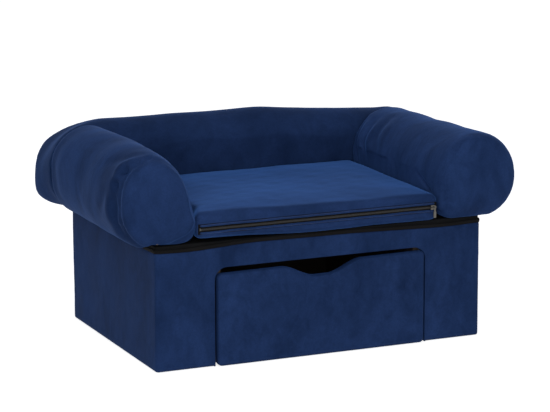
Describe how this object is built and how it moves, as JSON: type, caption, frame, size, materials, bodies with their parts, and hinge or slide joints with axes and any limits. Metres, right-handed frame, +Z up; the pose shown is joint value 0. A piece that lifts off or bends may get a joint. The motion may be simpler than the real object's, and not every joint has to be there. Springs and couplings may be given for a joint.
{
  "type": "dog sofa bed",
  "caption": "Small plush sofa bed for a dog, with rolled arms and back, a loose zipped seat cushion, and a base with a drawer that opens by a finger scoop.",
  "frame": {"origin": "on the floor, under the middle of the whole sofa", "axes": "+Z up, -Y the front with the drawer, +X the right-hand side as seen from the front"},
  "size_m": [0.75, 0.5, 0.38],
  "materials": {
    "plush": "short velvet pile, dark blue",
    "plywood": "raw plywood",
    "pine": "planed, raw",
    "hardboard": "smooth hardboard",
    "filling": "loose white fibre",
    "foam": "cut foam",
    "black_cloth": "black non-woven cloth",
    "brown_tape": "dark brown woven tape",
    "coil": "nylon coil, dark brown",
    "zip_metal": "dull nickel plate",
    "steel": "zinc plate",
    "glide_plastic": "smooth black plastic"
  },
  "bodies": {
    "base": {"arm_board_left": "plywood", "arm_board_right": "plywood", "arm_cover_left": "plush", "arm_cover_right": "plush", "arm_filling_left": "filling", "arm_filling_right": "filling", "arm_foot_left": "pine", "arm_foot_right": "pine", "back_board": "plywood", "back_cover": "plush", "back_filling": "filling", "back_foot": "pine", "back_panel": "plywood", "base_cover": "plush", "corner_post_front_left": "pine", "corner_post_front_right": "pine", "corner_post_rear_left": "pine", "corner_post_rear_right": "pine", "deck_board": "plywood", "deck_cloth": "black_cloth", "deck_edge_tape": "brown_tape", "deck_screws": "steel", "divider_left": "plywood", "divider_right": "plywood", "drawer_kicker_left": "pine", "drawer_kicker_right": "pine", "drawer_runner_left": "pine", "drawer_runner_right": "pine", "drawer_stops": "pine", "dust_cloth_left": "black_cloth", "dust_cloth_right": "black_cloth", "frame_bolts": "steel", "frame_tee_nuts": "steel", "frame_washers": "steel", "front_panel": "plywood", "glides": "glide_plastic", "side_panel_left": "plywood", "side_panel_right": "plywood"},
    "drawer": {"drawer_front_board": "plywood", "drawer_front_cover": "plush", "drawer_back": "pine", "drawer_bottom": "hardboard", "drawer_screws": "steel", "drawer_side_left": "pine", "drawer_side_right": "pine"},
    "cushion": {"cushion_cover": "plush", "cushion_foam": "foam", "zip_tape": "brown_tape", "zip_coil": "coil", "zip_stops": "zip_metal"},
    "zip_slider": {"zip_slider": "zip_metal"},
    "zip_pull": {"zip_pull": "zip_metal"}
  },
  "joints": [
    {"name": "drawer_slide", "type": "slide", "parent": "base", "child": "drawer", "axis": [0, -1, 0], "range_m": [0, 0.3]},
    {"name": "cushion_lift", "type": "slide", "parent": "base", "child": "cushion", "axis": [0, 0, 1], "range_m": [0, 0.17]},
    {"name": "zip_slide", "type": "slide", "parent": "cushion", "child": "zip_slider", "axis": [-1, 0, 0], "range_m": [0, 0.4]},
    {"name": "zip_pull_swing", "type": "hinge", "parent": "zip_slider", "child": "zip_pull", "pos_m": [0.2117, -0.2349, 0.2463], "axis": [0, 1, 0], "range_deg": [-30, 60]}
  ]
}
